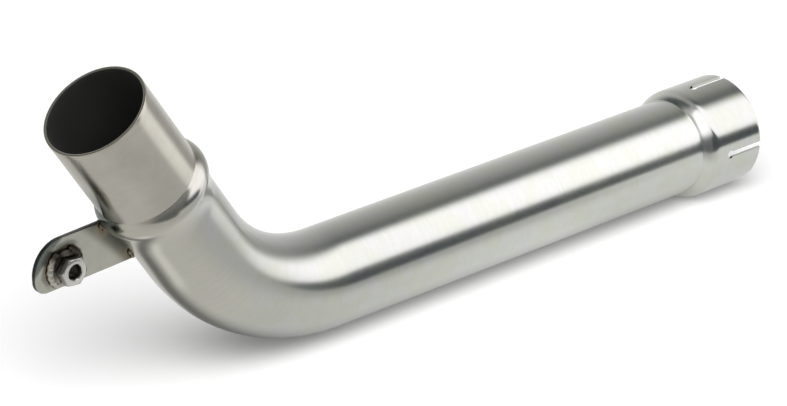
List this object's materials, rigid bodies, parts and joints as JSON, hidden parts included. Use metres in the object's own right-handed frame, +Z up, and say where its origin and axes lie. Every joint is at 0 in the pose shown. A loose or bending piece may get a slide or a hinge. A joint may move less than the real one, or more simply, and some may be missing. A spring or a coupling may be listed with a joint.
{
  "type": "motorcycle decat pipe",
  "caption": "Bent stainless exhaust link pipe with a slotted clamp socket at one end, a shouldered spigot at the other and a side hanger plate with a welded nut.",
  "frame": {"origin": "centre of the slotted socket's rim", "axes": "+X out of the socket along the long leg, +Z up with the bend in the plane Y = 0, the hanger plate's bolt face towards +Y"},
  "size_m": [0.46, 0.0588, 0.1699],
  "materials": {
    "tube_steel": "satin brushed stainless tube",
    "plate_steel": "brushed stainless plate, tinted by heat beside the welds",
    "nut_steel": "satin stainless nut",
    "weld_steel": "rippled weld metal, straw to brown at its edges"
  },
  "bodies": {
    "root": {"pipe": "tube_steel", "hanger_plate": "plate_steel", "flange_nut": "nut_steel", "plate_weld_back": "weld_steel", "plate_weld_lower": "weld_steel", "plate_weld_upper": "weld_steel", "nut_weld_outer": "weld_steel", "nut_weld_inner": "weld_steel"}
  },
  "joints": []
}
